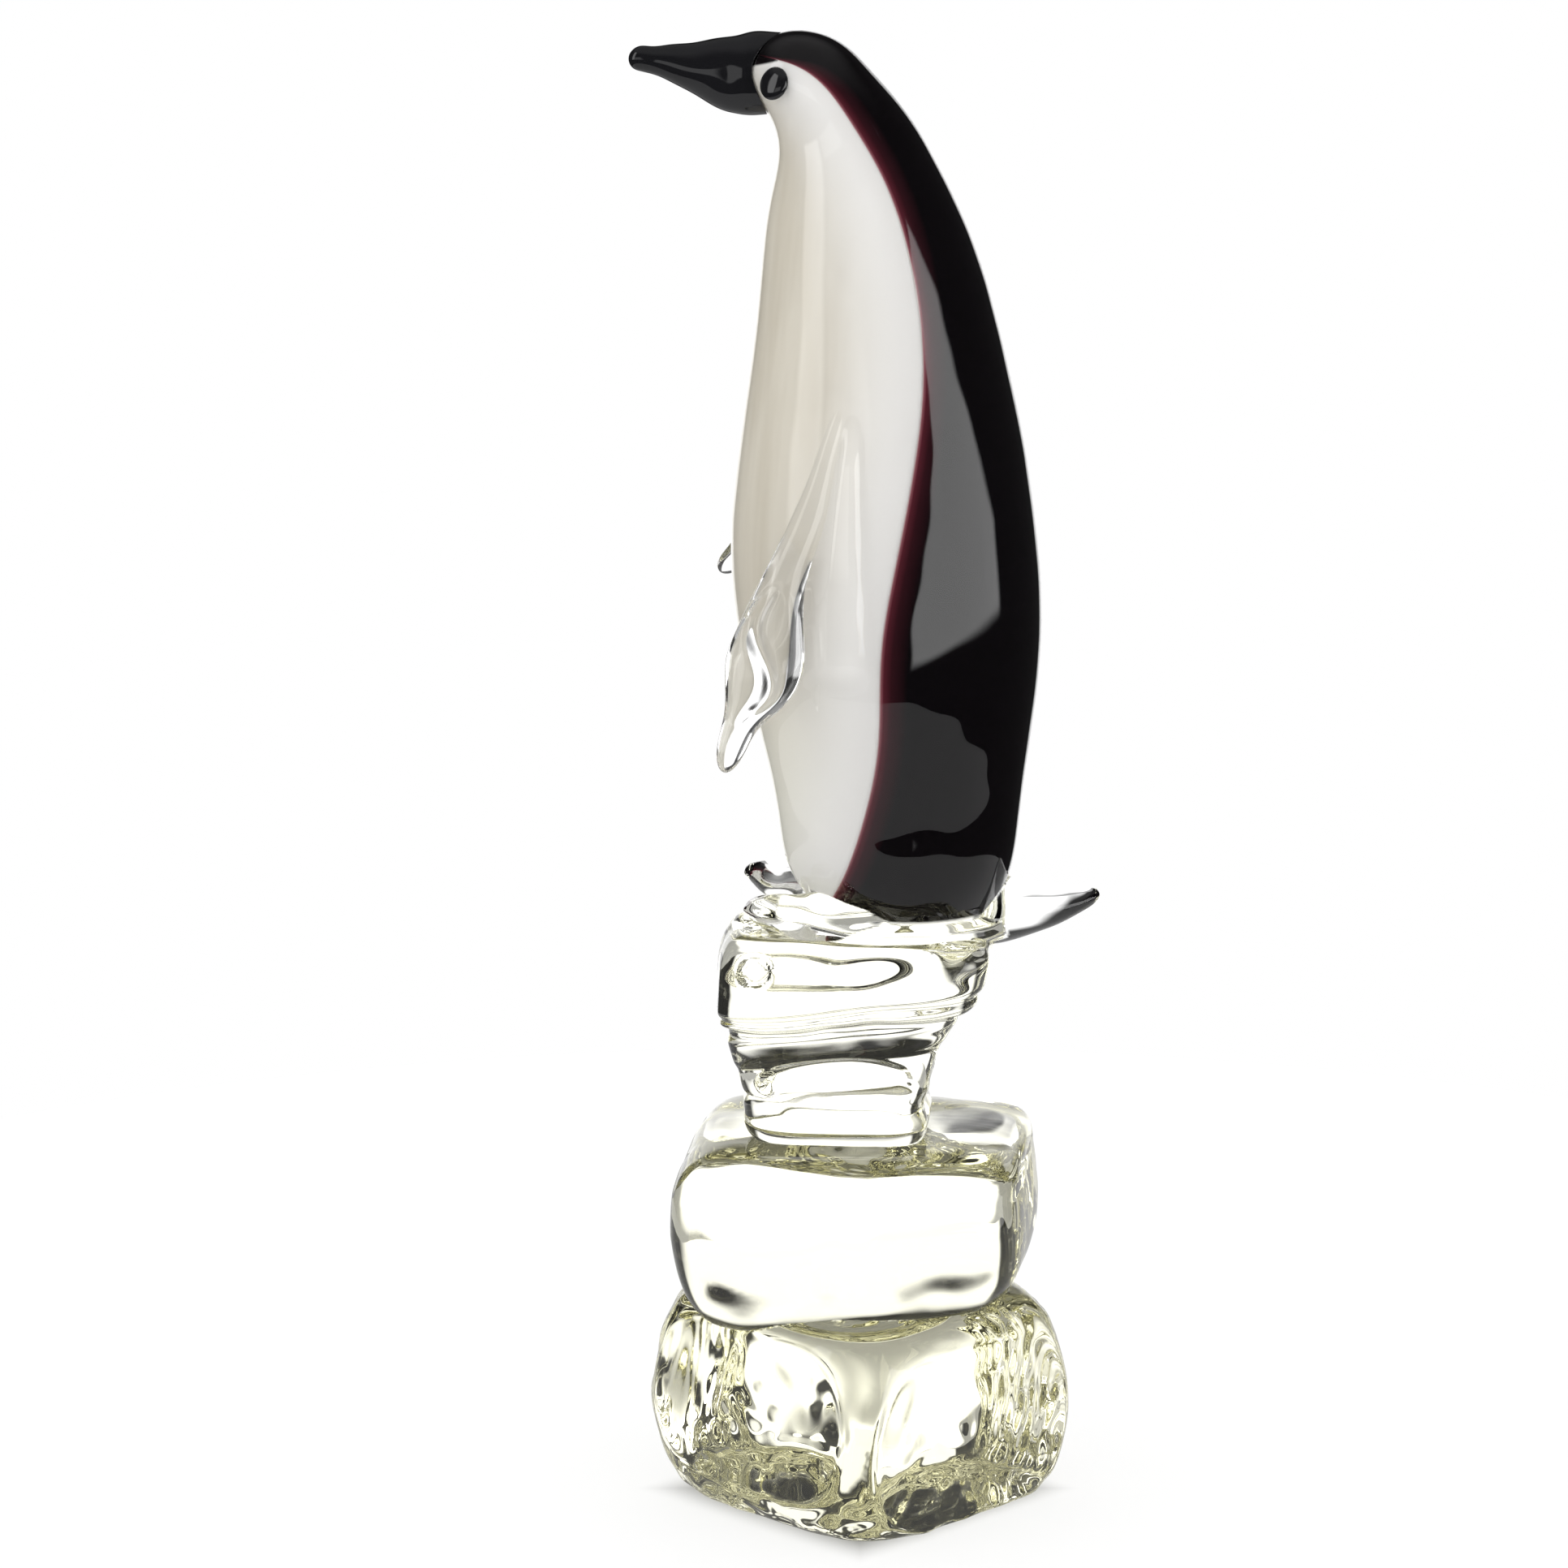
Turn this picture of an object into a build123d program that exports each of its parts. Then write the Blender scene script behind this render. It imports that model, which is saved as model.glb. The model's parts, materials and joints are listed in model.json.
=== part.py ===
from build123d import *
from math import cos, radians, sin
import os

import numpy as np

# Penguin of hot-worked glass on a stack of three ice blocks, in millimetres
# The beak points to -X, the penguin's left side faces -Y, and the stack stands on Z = 0

# Lower ice block, turned corner first
lower_block_side = 79.3
lower_block_height = 52
lower_block_corner = 18.5
lower_block_turn = 45
# The corner that faces the front is the sharpest, and stands in a little from the square
lower_block_front_corner = 7
lower_block_front_share = 0.925
# Rows: height, size and sideways shift of one level of the block
lower_block_level_shares = (
    (0.00, 0.81, 0.025),
    (0.09, 0.91, 0.022),
    (0.25, 0.975, 0.012),
    (0.46, 1.00, 0.005),
    (0.70, 0.96, 0.00),
    (0.90, 0.89, -0.005),
    (1.00, 0.76, -0.01),
)

# Middle ice block, its underside slumped towards the beak
middle_block_width = 81.5
middle_block_depth = 75
middle_block_height = 41.5
middle_block_corner = 13
middle_block_turn = -7
middle_block_slump = 7
middle_block_level_shares = (
    (0.00, 0.70, 0.025),
    (0.07, 0.83, 0.02),
    (0.19, 0.935, 0.012),
    (0.36, 0.985, 0.00),
    (0.56, 1.00, -0.01),
    (0.76, 0.985, -0.01),
    (0.91, 0.94, 0.00),
    (1.00, 0.83, 0.00),
)

# Upper ice block, tapering down to a narrow foot
upper_block_width = 64
upper_block_depth = 58
upper_block_height = 53.5
upper_block_corner = 15
upper_block_turn = -5
# Its levels draw in at two creases, one above the foot and one under the shoulder
upper_block_level_shares = (
    (0.00, 0.545, -0.055),
    (0.09, 0.63, -0.066),
    (0.17, 0.665, -0.074),
    (0.25, 0.745, -0.074),
    (0.35, 0.81, -0.069),
    (0.45, 0.855, -0.061),
    (0.53, 0.85, -0.054),
    (0.60, 0.85, -0.047),
    (0.67, 0.915, -0.038),
    (0.75, 0.962, -0.026),
    (0.84, 0.972, -0.011),
    (0.93, 0.955, 0.001),
    (1.00, 0.88, 0.008),
)

# All three blocks bulge a little between their corners and sink into what carries them
block_bow_share = 0.06
block_seat = 3

# Clear pad between the upper block and the figure
pad_length = 60
pad_width = 51
pad_thickness = 6.5
pad_edge = 2.8
pad_forward = 5
pad_seat = 3

# Body of the penguin, measured over its clear casing
body_height = 207
body_depth = 73
body_width = 69
body_seat = 1.5
crown_centre_share = -0.176
# Rows: height, centre and size of one level of the body
body_level_shares = (
    (0.00, 0.153, 0.553),
    (0.04, 0.135, 0.694),
    (0.12, 0.126, 0.788),
    (0.24, 0.111, 0.91),
    (0.39, 0.085, 0.992),
    (0.55, 0.069, 0.899),
    (0.70, 0.047, 0.744),
    (0.82, 0.002, 0.575),
    (0.905, -0.068, 0.447),
    (0.957, -0.167, 0.395),
    (0.986, -0.19, 0.258),
)

# Clear casing over the coloured glass, and the dark layer over the white core
casing_wall = 2.4
overlay_thickness = 2
# Edge of the dark layer seen from the side: place along the body's depth, height
dark_edge_shares = (
    (-0.54, 0.95),
    (-0.36, 0.972),
    (-0.261, 0.9675),
    (-0.178, 0.956),
    (-0.092, 0.927),
    (-0.014, 0.888),
    (0.062, 0.84),
    (0.145, 0.753),
    (0.185, 0.63),
    (0.15, 0.512),
    (0.096, 0.41),
    (0.059, 0.32),
    (0.053, 0.22),
    (0.011, 0.128),
    (-0.064, 0.042),
    (-0.15, -0.02),
)
dark_reach_share = 0.9

# Beak, a drawn horn of black glass with a small ball at its tip
beak_length = 27.3
beak_width = 12.5
beak_height = 19.6
beak_axis_share = 0.952
beak_tip_rise_share = 0.173
# Rows: place along the horn, width, height and rise of one level
beak_level_shares = (
    (-0.22, 0.96, 0.97, 0.015),
    (-0.06, 1.00, 0.98, 0.005),
    (0.10, 0.98, 0.90, -0.01),
    (0.26, 0.88, 0.79, 0.018),
    (0.45, 0.72, 0.625, 0.068),
    (0.655, 0.55, 0.445, 0.127),
    (0.81, 0.45, 0.33, 0.155),
    (0.91, 0.42, 0.295, 0.173),
    (0.97, 0.29, 0.20, 0.173),
)

# Eyes, flattened beads pressed into the casing
eye_width = 7.3
eye_height = 7.7
eye_depth = 3.2
eye_level_share = 0.946
eye_turn = 53.5
eye_lift = 18

# Flippers, drawn from the shoulder and free below it
flipper_level_share = 0.613
flipper_turn = 73
flipper_sink = 2
# Spines: forward, outward and down from the shoulder
# Levels: place along the flipper, width and thickness
left_flipper_length = 91
left_flipper_width = 18
left_flipper_thickness = 9.5
left_flipper_spine_shares = (
    (0.00, 0.00, 0.00),
    (0.05, 0.03, 0.17),
    (0.10, 0.055, 0.33),
    (0.152, 0.076, 0.46),
    (0.185, 0.087, 0.585),
    (0.213, 0.098, 0.705),
    (0.262, 0.112, 0.815),
    (0.3055, 0.12, 0.942),
)
left_flipper_level_shares = (
    (0.05, 0.16, 0.30),
    (0.18, 0.28, 0.55),
    (0.35, 0.44, 0.80),
    (0.492, 0.56, 0.95),
    (0.622, 0.86, 1.00),
    (0.735, 0.985, 0.98),
    (0.805, 0.74, 0.86),
    (0.865, 0.48, 0.68),
    (0.92, 0.39, 0.56),
    (0.965, 0.30, 0.45),
)
right_flipper_length = 72
right_flipper_width = 16
right_flipper_thickness = 8.5
right_flipper_spine_shares = (
    (0.00, 0.00, 0.00),
    (0.085, 0.075, 0.27),
    (0.19, 0.22, 0.50),
    (0.295, 0.37, 0.65),
    (0.41, 0.52, 0.785),
)
right_flipper_level_shares = (
    (0.04, 0.20, 0.32),
    (0.14, 0.40, 0.58),
    (0.30, 0.74, 0.84),
    (0.47, 0.98, 1.00),
    (0.60, 0.96, 1.00),
    (0.73, 0.74, 0.86),
    (0.85, 0.48, 0.64),
    (0.93, 0.39, 0.52),
    (0.97, 0.29, 0.40),
)

# Feet, two lobes that splay forward with raised toes
foot_length = 34
foot_width = 19
foot_height = 11.5
foot_stance = 26
foot_splay = 12
foot_heel_share = 0.25
foot_tip_rise_share = 0.43
foot_level_shares = (
    (0.00, 0.70, 0.75, 0.08),
    (0.30, 1.00, 1.00, 0.14),
    (0.60, 0.98, 0.95, 0.24),
    (0.84, 0.76, 0.72, 0.36),
    (0.95, 0.46, 0.44, 0.42),
)

# Tail, a short horn over the back edge of the pad
tail_length = 25.5
tail_width = 22
tail_height = 16.5
tail_tip_rise_share = 0.24
tail_level_shares = (
    (-0.30, 1.00, 1.00, 0.04),
    (0.10, 0.96, 0.98, 0.05),
    (0.42, 0.76, 0.72, 0.07),
    (0.68, 0.54, 0.50, 0.12),
    (0.87, 0.36, 0.31, 0.19),
    (0.96, 0.22, 0.19, 0.23),
)

# Heights of the stack, each piece taken from the one that carries it
middle_block_foot = lower_block_height - block_seat
upper_block_foot = middle_block_foot + middle_block_height - block_seat
pad_foot = upper_block_foot + upper_block_height - pad_seat
body_base = pad_foot + pad_thickness - body_seat


# An ice block: bowed, round-cornered levels, the lowest one tilted by the slump
def ice_block(
    width, depth, height, corner, foot, turn, slump, level_shares, front_corner=None, front_share=1
):
    with BuildPart() as block:
        for height_share, size_share, shift_share in level_shares:
            half_width = width * size_share / 2
            half_depth = depth * size_share / 2
            corners = (
                (-half_width * front_share, -half_depth * front_share),
                (half_width, -half_depth),
                (half_width, half_depth),
                (-half_width, half_depth),
            )
            centre = Vector(width * shift_share, 0, foot + height * height_share)
            tilt = -slump * (1 - height_share)
            with BuildSketch(Plane(centre).rotated((0, tilt, turn))):
                with BuildLine():
                    for start, end in zip(corners, corners[1:] + corners[:1]):
                        middle = (Vector(start) + Vector(end)) / 2 * (1 + block_bow_share)
                        ThreePointArc(start, middle, end)
                make_face()
                front_radius = (front_corner or corner) * size_share
                fillet(vertices().sort_by_distance(corners[0])[0], front_radius)
                fillet(vertices().sort_by_distance(corners[0])[-3:], corner * size_share)
        loft()
    return block


# One level of the body: centre, half depth and half width at a share of its height
def body_level(level_share):
    heights, centres, sizes = zip(*body_level_shares)
    centre = body_depth * float(np.interp(level_share, heights, centres))
    size_share = float(np.interp(level_share, heights, sizes))
    return centre, body_depth * size_share / 2, body_width * size_share / 2


# The body's skin, drawn in by an even thickness and open to no side but its flat base
def body_skin(inset):
    levels = []
    for height_share, centre_share, size_share in body_level_shares:
        height = body_base + (body_height - inset) * height_share
        with BuildSketch(Plane((body_depth * centre_share, 0, height))) as level:
            Ellipse(body_depth * size_share / 2 - inset, body_width * size_share / 2 - inset)
        levels.append(level.sketch)
    crown = Vertex(body_depth * crown_centre_share, 0, body_base + body_height - inset)
    with BuildPart() as skin:
        loft(sections=[*levels, crown])
    return skin.part


# A plane on the body's skin that faces outward; side is -1 on the left and 1 on the right
def flank_plane(level_share, turn, side):
    centre, half_depth, half_width = body_level(level_share)
    ahead = cos(radians(turn))
    aside = side * sin(radians(turn))
    place = (centre - half_depth * ahead, half_width * aside, body_base + body_height * level_share)
    outward = Vector(-ahead * half_width, aside * half_depth, 0)
    return Plane(place, x_dir=outward.cross(Vector(0, 0, 1)), z_dir=outward)


# A horn of round levels along the root plane's normal, drawn out to a point
def horn(root, length, width, height, tip_rise_share, level_shares):
    levels = []
    for along_share, width_share, height_share, rise_share in level_shares:
        centre = root.from_local_coords(Vector(0, height * rise_share, length * along_share))
        with BuildSketch(Plane(centre, x_dir=root.x_dir, z_dir=root.z_dir)) as level:
            Ellipse(width * width_share / 2, height * height_share / 2)
        levels.append(level.sketch)
    tip = root.from_local_coords(Vector(0, height * tip_rise_share, length))
    with BuildPart() as shape:
        loft(sections=[*levels, Vertex(*tip)])
    return shape.part


# A flipper: oval levels square to a spine that starts just under the shoulder's skin
def flipper(side, length, width, thickness, spine_shares, level_shares):
    shoulder = flank_plane(flipper_level_share, flipper_turn, side).offset(-flipper_sink)
    points = []
    for forward_share, outward_share, down_share in spine_shares:
        step = Vector(-forward_share, side * outward_share, -down_share)
        points.append(shoulder.origin + step * length)
    with BuildLine() as spine:
        Spline(*points)
    levels = []
    for along_share, width_share, thickness_share in level_shares:
        along = spine.line % along_share
        across = along.cross(shoulder.z_dir)
        with BuildSketch(Plane(spine.line @ along_share, x_dir=across, z_dir=along)) as level:
            Ellipse(width * width_share / 2, thickness * thickness_share / 2)
        levels.append(level.sketch)
    with BuildPart() as blade:
        loft(sections=[Vertex(*points[0]), *levels, Vertex(*points[-1])])
    return blade.part


# A foot, from a heel under the body to a raised toe
def foot(side):
    centre, half_depth, _ = body_level(0)
    heel = (centre - half_depth * foot_heel_share, side * foot_stance / 2, body_base)
    forward = Vector(-cos(radians(foot_splay)), side * sin(radians(foot_splay)), 0)
    root = Plane(heel, x_dir=Vector(0, 0, 1).cross(forward), z_dir=forward)
    return horn(root, foot_length, foot_width, foot_height, foot_tip_rise_share, foot_level_shares)


# Stack of ice blocks, each cut to the shape of the one that it was laid on while hot
lower_block = ice_block(
    lower_block_side,
    lower_block_side,
    lower_block_height,
    lower_block_corner,
    0,
    lower_block_turn,
    0,
    lower_block_level_shares,
    lower_block_front_corner,
    lower_block_front_share,
)

with BuildPart() as middle_block:
    middle_cushion = ice_block(
        middle_block_width,
        middle_block_depth,
        middle_block_height,
        middle_block_corner,
        middle_block_foot,
        middle_block_turn,
        middle_block_slump,
        middle_block_level_shares,
    )
    add(middle_cushion.part)
    add(lower_block.part, mode=Mode.SUBTRACT)

with BuildPart() as upper_block:
    upper_cushion = ice_block(
        upper_block_width,
        upper_block_depth,
        upper_block_height,
        upper_block_corner,
        upper_block_foot,
        upper_block_turn,
        0,
        upper_block_level_shares,
    )
    add(upper_cushion.part)
    add(middle_block.part, mode=Mode.SUBTRACT)

# Layers of the body, from the outside in
body_outer = body_skin(0)
body_cavity = body_skin(casing_wall)
core_under_dark = body_skin(casing_wall + overlay_thickness)

# Everything behind the dark edge, less the core that the dark layer lies on
with BuildPart() as dark_zone:
    with BuildSketch(Plane.XZ):
        with BuildLine():
            edge_points = []
            for depth_share, height_share in dark_edge_shares:
                edge_points.append((body_depth * depth_share, body_base + body_height * height_share))
            dark_edge = Spline(*edge_points)
            back = body_depth * dark_reach_share
            top = body_base + body_height / dark_reach_share
            Polyline(dark_edge @ 1, (back, (dark_edge @ 1).Y), (back, top),
                     ((dark_edge @ 0).X, top), dark_edge @ 0)
        make_face()
    extrude(amount=body_width, both=True)
    add(core_under_dark, mode=Mode.SUBTRACT)

with BuildPart() as back_overlay:
    add(body_cavity)
    add(dark_zone.part, mode=Mode.INTERSECT)

with BuildPart() as body_core:
    add(body_cavity)
    add(dark_zone.part, mode=Mode.SUBTRACT)

# Eyes: one bead, set on each side of the head
with BuildPart() as eye_bead:
    Sphere(1)
    scale(by=(eye_width / 2, eye_height / 2, eye_depth / 2))

with BuildPart(flank_plane(eye_level_share, eye_turn, -1).rotated((eye_lift, 0, 0))) as left_eye:
    add(eye_bead.part)

with BuildPart() as right_eye:
    mirror(left_eye.part, about=Plane.XZ)

with BuildPart() as body_casing:
    add(body_outer)
    add(body_cavity, mode=Mode.SUBTRACT)
    add([left_eye.part, right_eye.part], mode=Mode.SUBTRACT)

# Foot pad, melted over the block and under the body
with BuildPart() as foot_pad:
    base_centre, base_half_depth, _ = body_level(0)
    with BuildSketch(Plane((base_centre - pad_forward, 0, pad_foot))):
        Ellipse(pad_length / 2, pad_width / 2)
    extrude(amount=pad_thickness)
    fillet(edges(), pad_edge)
    add([upper_block.part, body_outer], mode=Mode.SUBTRACT)

# Drawn pieces, each cut to the body and to what it lies on
with BuildPart() as beak:
    face_centre, face_half_depth, _ = body_level(beak_axis_share)
    face = (face_centre - face_half_depth, 0, body_base + body_height * beak_axis_share)
    beak_root = Plane(face, x_dir=(0, -1, 0), z_dir=(-1, 0, 0))
    add(horn(beak_root, beak_length, beak_width, beak_height, beak_tip_rise_share, beak_level_shares))
    add([body_outer, left_eye.part, right_eye.part], mode=Mode.SUBTRACT)

with BuildPart() as tail:
    tail_root = Plane((base_centre + base_half_depth, 0, body_base), x_dir=(0, 1, 0), z_dir=(1, 0, 0))
    add(horn(tail_root, tail_length, tail_width, tail_height, tail_tip_rise_share, tail_level_shares))
    add([body_outer, foot_pad.part, upper_block.part], mode=Mode.SUBTRACT)

with BuildPart() as left_foot:
    add(foot(-1))
    add([body_outer, foot_pad.part, upper_block.part], mode=Mode.SUBTRACT)

with BuildPart() as right_foot:
    add(foot(1))
    add([body_outer, foot_pad.part, upper_block.part], mode=Mode.SUBTRACT)

with BuildPart() as left_flipper:
    left_blade = flipper(
        -1,
        left_flipper_length,
        left_flipper_width,
        left_flipper_thickness,
        left_flipper_spine_shares,
        left_flipper_level_shares,
    )
    add(left_blade)
    add(body_outer, mode=Mode.SUBTRACT)

with BuildPart() as right_flipper:
    right_blade = flipper(
        1,
        right_flipper_length,
        right_flipper_width,
        right_flipper_thickness,
        right_flipper_spine_shares,
        right_flipper_level_shares,
    )
    add(right_blade)
    add(body_outer, mode=Mode.SUBTRACT)

# One file for each piece
pieces = {
    "lower_block": lower_block,
    "middle_block": middle_block,
    "upper_block": upper_block,
    "foot_pad": foot_pad,
    "left_foot": left_foot,
    "right_foot": right_foot,
    "tail": tail,
    "body_casing": body_casing,
    "body_core": body_core,
    "back_overlay": back_overlay,
    "left_flipper": left_flipper,
    "right_flipper": right_flipper,
    "beak": beak,
    "left_eye": left_eye,
    "right_eye": right_eye,
}
os.makedirs("parts", exist_ok=True)
for name, piece in pieces.items():
    piece.part.label = name
    export_step(piece.part, f"parts/{name}.step")
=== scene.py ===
import json
import math
from functools import partial
import bpy
import numpy as np
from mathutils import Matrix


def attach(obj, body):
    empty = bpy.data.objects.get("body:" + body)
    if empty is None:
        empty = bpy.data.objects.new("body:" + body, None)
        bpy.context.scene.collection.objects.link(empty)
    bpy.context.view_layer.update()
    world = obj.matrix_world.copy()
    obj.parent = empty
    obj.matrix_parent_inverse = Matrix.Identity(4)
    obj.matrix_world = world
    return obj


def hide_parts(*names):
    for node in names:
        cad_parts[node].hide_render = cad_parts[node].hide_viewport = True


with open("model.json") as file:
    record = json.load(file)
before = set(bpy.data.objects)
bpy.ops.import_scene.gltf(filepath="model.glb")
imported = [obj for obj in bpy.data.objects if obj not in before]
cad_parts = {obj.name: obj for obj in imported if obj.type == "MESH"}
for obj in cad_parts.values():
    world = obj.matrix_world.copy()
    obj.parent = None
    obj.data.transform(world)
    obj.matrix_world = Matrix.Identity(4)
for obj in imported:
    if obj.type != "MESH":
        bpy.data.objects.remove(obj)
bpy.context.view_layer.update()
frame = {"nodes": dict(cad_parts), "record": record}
metre = 0.001  # shapes are worked out in millimetres, meshes are in metres
nearTip = 0.9995  # a table that closes at a tip is read no further than this share
tipCrowding = 1.8  # how closely rings crowd towards a limb's tip
leastHalf = 0.02  # no half axis of the body gets thinner than this
farOff = 9  # what an attribute says at a pole, well past its edge
seatSoft = 0.15  # half the width over which a melted seat opens
print("frame:", len(frame["nodes"]), "nodes")


# Natural cubic spline through a table's rows, read at values of its first column
def readTable(table, at):
    rows = np.asarray(table, float)
    at = np.asarray(at, float)
    knots, values = rows[:, 0], rows[:, 1:]
    gaps = np.diff(knots)
    count = len(knots)
    system = np.eye(count)
    rates = np.diff(values, axis=0) / gaps[:, None]
    right = np.zeros_like(values)
    inner = np.arange(1, count - 1)
    system[inner, inner - 1] = gaps[:-1]
    system[inner, inner] = 2 * (gaps[:-1] + gaps[1:])
    system[inner, inner + 1] = gaps[1:]
    right[1:-1] = 6 * np.diff(rates, axis=0)
    bends = np.linalg.solve(system, right)
    cell = np.clip(np.searchsorted(knots, at, side="right") - 1, 0, count - 2)
    gap = gaps[cell][..., None]
    before = (knots[cell + 1] - at)[..., None]
    after = (at - knots[cell])[..., None]
    curved = (bends[cell] * before**3 + bends[cell + 1] * after**3) / (6 * gap)
    low = (values[cell] / gap - bends[cell] * gap / 6) * before
    high = (values[cell + 1] / gap - bends[cell + 1] * gap / 6) * after
    return curved + low + high


# The same spline through plain points, by chord length, at evenly spaced places
def readCurve(points, count):
    points = np.asarray(points, float)
    chords = np.linalg.norm(np.diff(points, axis=0), axis=1)
    along = np.concatenate([[0], np.cumsum(chords)])
    return readTable(np.column_stack([along, points]), np.linspace(0, along[-1], count))


# A table's sizes divided by the root of what is left to the tip, so that the tip closes round
def roundTip(table, columns):
    rows = np.array(table, float)
    rows[:, columns] /= np.sqrt(1 - rows[:, :1])
    return rows


# Soft step from 0 at low to 1 at high: three squares of the share between them, less two cubes
def smoothStep(low, high, values):
    share = np.clip((values - low) / (high - low), 0, 1)
    return share * share * (3 - 2 * share)


# Unevenness of hand-worked glass: a sum of seeded plane waves of about one length, unit spread
def ripple(points, length, seed, count=26, spread=(0.7, 1.5)):
    rng = np.random.default_rng(seed)
    ways = rng.normal(size=(3, count))
    ways *= 2 * np.pi / (length * rng.uniform(*spread, count) * np.linalg.norm(ways, axis=0))
    phases = rng.uniform(0, 2 * np.pi, count)
    return np.sin(points @ ways + phases).sum(-1) / math.sqrt(count / 2)


# Slow waves of hot glass that mostly draw a surface in: a size times a ripple less its sink
def glassWave(points, wave, seedStep=0):
    size, length, seed, sink = wave
    return size * (ripple(points, length, seed + seedStep) - sink)


# Even angles around a ring
def ringAngles(count):
    return np.arange(count) * 2 * np.pi / count


# Shares from 0 that crowd towards 1, so that a tip closes round: one less a power of what is left
def crowdedShares(levels, power):
    along = np.linspace(0, 1, levels + 1)[:-1]
    return 1 - (1 - along) ** power


# Outward normals of a grid of closed rings, from its two tangents
def ringNormals(rings):
    around = np.roll(rings, -1, 1) - np.roll(rings, 1, 1)
    along = np.gradient(rings, axis=0)
    normals = np.cross(around, along)
    return normals / np.maximum(np.linalg.norm(normals, axis=-1, keepdims=True), 1e-9)


# A shape from its rings, with poles in the middle of the first and of the last ring
def closeRings(rings, **more):
    return {"rings": rings, "low": rings[0].mean(0), "high": rings[-1].mean(0), **more}


# A shape's points in mesh order: the low pole, the rings, the high pole
def allPoints(shape):
    return np.vstack([[shape["low"]], shape["rings"].reshape(-1, 3), [shape["high"]]])


# An attribute's values in the same order
def poleValues(low, values, high):
    return np.concatenate([[low], values.ravel(), [high]])


# Closed mesh: quads between the rings, a fan at each pole, all turned outward
def putMesh(name, shape):
    points = allPoints(shape)
    levels, around = shape["rings"].shape[:2]
    this = np.arange(around)
    after = (this + 1) % around
    level = (1 + around * np.arange(levels - 1))[:, None]
    above = level + around
    quads = np.stack([level + this, level + after, above + after, above + this], -1).reshape(-1, 4)
    last = 1 + around * (levels - 1)
    lowFan = np.stack([0 * this, 1 + after, 1 + this], -1)
    highFan = np.stack([0 * this + 1 + around * levels, last + this, last + after], -1)
    mesh = bpy.data.meshes.new(name)
    faces = lowFan.tolist() + quads.tolist() + highFan.tolist()
    mesh.from_pydata((points * metre).tolist(), [], faces, shade_flat=False)
    corners = points[quads]
    spans = np.cross(corners[:, 2] - corners[:, 0], corners[:, 3] - corners[:, 1])
    if (spans * (corners.mean(1) - points.mean(0))).sum() < 0:
        mesh.flip_normals()
    for label, values in shape.get("values", {}).items():
        attribute = mesh.attributes.new(label, "FLOAT", "POINT")
        attribute.data.foreach_set("value", values.astype(np.float32))
    made = bpy.data.objects.new(name, mesh)
    bpy.context.scene.collection.objects.link(made)
    return made


# Ice blocks: a profile's rows are shares of the half width and of the height, shifts are shares of the width.
# Lumps, hammer marks and waves are a size, a length and a seed

lowerLook = {
    "size": (79.3, 79.3, 52), "foot": 0, "turn": 45, "slump": 0, "sway": 0, "power": 4, "bow": 1.062,
    "grid": (360, 240),
    "profile": ((0, 0), (0.5, 0), (0.75, 0.002), (0.855, 0.03), (0.925, 0.11), (0.975, 0.25), (1, 0.46),
                (0.965, 0.69), (0.905, 0.86), (0.825, 0.95), (0.70, 0.992), (0.45, 1), (0, 1)),
    "shifts": ((0, 0.025), (0.09, 0.022), (0.25, 0.012), (0.46, 0.005), (0.70, 0), (0.90, -0.005),
               (1, -0.01)),
    "lump": (0.3, 34, 11), "hammer": (0.34, 7, 12),
    "smooth": ((-28, 28, 27, 24),),  # a place and a reach with no hammer marks
    "facets": ((225, 4, 38, 0.4), (315, -1, 38, 0.4),  # bearing, tilt, distance and soft rim
               (45, 0, 40, 1.5), (135, 0, 40, 1.5)),
}
middleLook = {
    "size": (81.5, 75, 41.5), "foot": 49, "turn": -7, "slump": 7, "sway": 0, "power": 7, "bow": 1.03,
    "grid": (256, 170),
    "profile": ((0, 0), (0.45, 0), (0.66, 0.003), (0.78, 0.035), (0.875, 0.11), (0.95, 0.23), (0.985, 0.37),
                (1, 0.56), (0.985, 0.76), (0.945, 0.895), (0.87, 0.965), (0.74, 0.996), (0.5, 1), (0, 1)),
    "shifts": ((0, 0.025), (0.07, 0.02), (0.19, 0.012), (0.36, 0), (0.56, -0.01), (0.76, -0.01),
               (0.91, 0), (1, 0)),
    "lump": (0.3, 36, 21), "hammer": (0.1, 12, 22),
}
upperLook = {
    "size": (64, 58, 53.5), "foot": 87.5, "turn": -5, "slump": 0, "sway": 0.1, "power": 5, "bow": 1.05,
    "grid": (300, 260),
    "profile": ((0, 0), (0.36, 0), (0.5, 0.012), (0.60, 0.06), (0.648, 0.115), (0.672, 0.17), (0.738, 0.225),
                (0.795, 0.30), (0.845, 0.40), (0.862, 0.47), (0.856, 0.535), (0.868, 0.60), (0.925, 0.645),
                (0.957, 0.70), (0.972, 0.80), (0.96, 0.90), (0.90, 0.975), (0.76, 1), (0.45, 1), (0, 1)),
    "shifts": ((0, -0.055), (0.09, -0.066), (0.17, -0.074), (0.25, -0.074), (0.35, -0.069), (0.45, -0.061),
               (0.53, -0.054), (0.60, -0.047), (0.67, -0.038), (0.75, -0.026), (0.84, -0.011), (0.93, 0.001),
               (1, 0.008)),
    "lump": (0.5, 26, 31), "hammer": (0.176, 9, 32),
    "creases": ((124.5, 0.123, 1.0, 1.2), (120.5, 0.1, 1.3, 1.3),  # level, rise, depth and half width
                (97, -0.02, 2.2, 2.6)),
    "backCreases": ((109.5, 0.12, 8.3, 9),),
    "ledges": ((122, 110, 0.1, 5.2, (94, 99)),),  # top, foot, rise, depth, and where it fades out again
    "hollows": ((-5, -24, 103.5, 19, 8, 2.6, 0.5),  # place, half width, half height, depth, flat share
                (-25.5, -26, 134.5, 4.5, 4, 1.6, 0.6)),
}
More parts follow.
